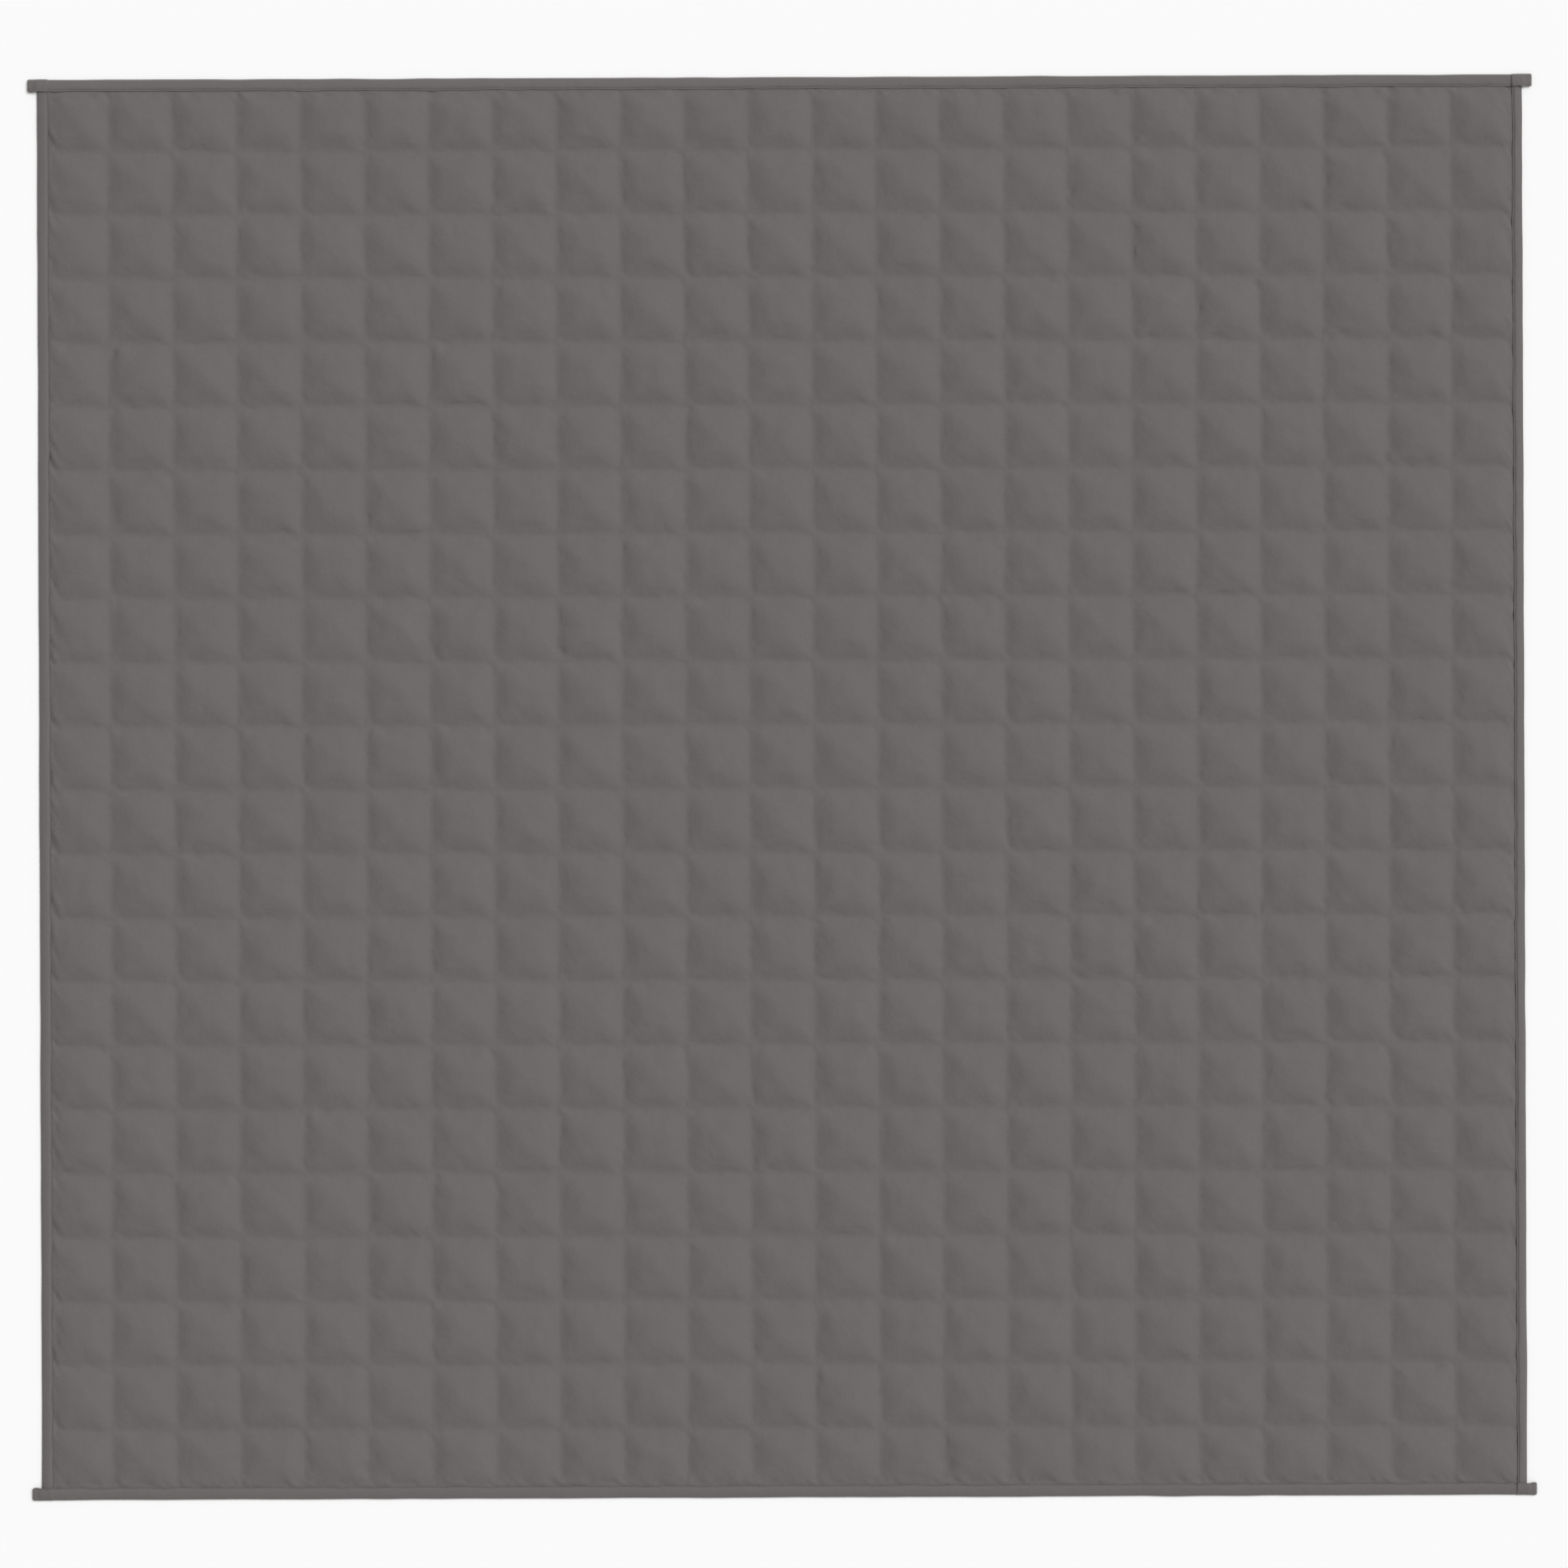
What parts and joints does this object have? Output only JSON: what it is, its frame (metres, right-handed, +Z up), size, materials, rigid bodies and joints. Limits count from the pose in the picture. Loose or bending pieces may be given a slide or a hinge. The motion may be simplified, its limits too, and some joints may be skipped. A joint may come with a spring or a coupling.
{
  "type": "weighted blanket",
  "caption": "Flat weighted blanket, quilted all over into small square pockets and bound with tape on its edges, with short tape tabs at its corners.",
  "frame": {"origin": "on the surface that the blanket lies on, under its middle", "axes": "+X along the rows of squares, the longer way, towards the right side; +Y up the columns, towards the top edge; +Z up, out of the blanket's front"},
  "size_m": [2.33, 2.2016, 0.0136],
  "materials": {
    "panel_cloth": "matt, fine plain-woven cloth in warm grey, filled and sewn through into squares",
    "tape_cloth": "matt woven tape in the same warm grey, folded over the edge and sewn down"
  },
  "bodies": {
    "root": {"quilted_panel": "panel_cloth", "binding_top": "tape_cloth", "binding_bottom": "tape_cloth", "binding_left": "tape_cloth", "binding_right": "tape_cloth"}
  },
  "joints": []
}
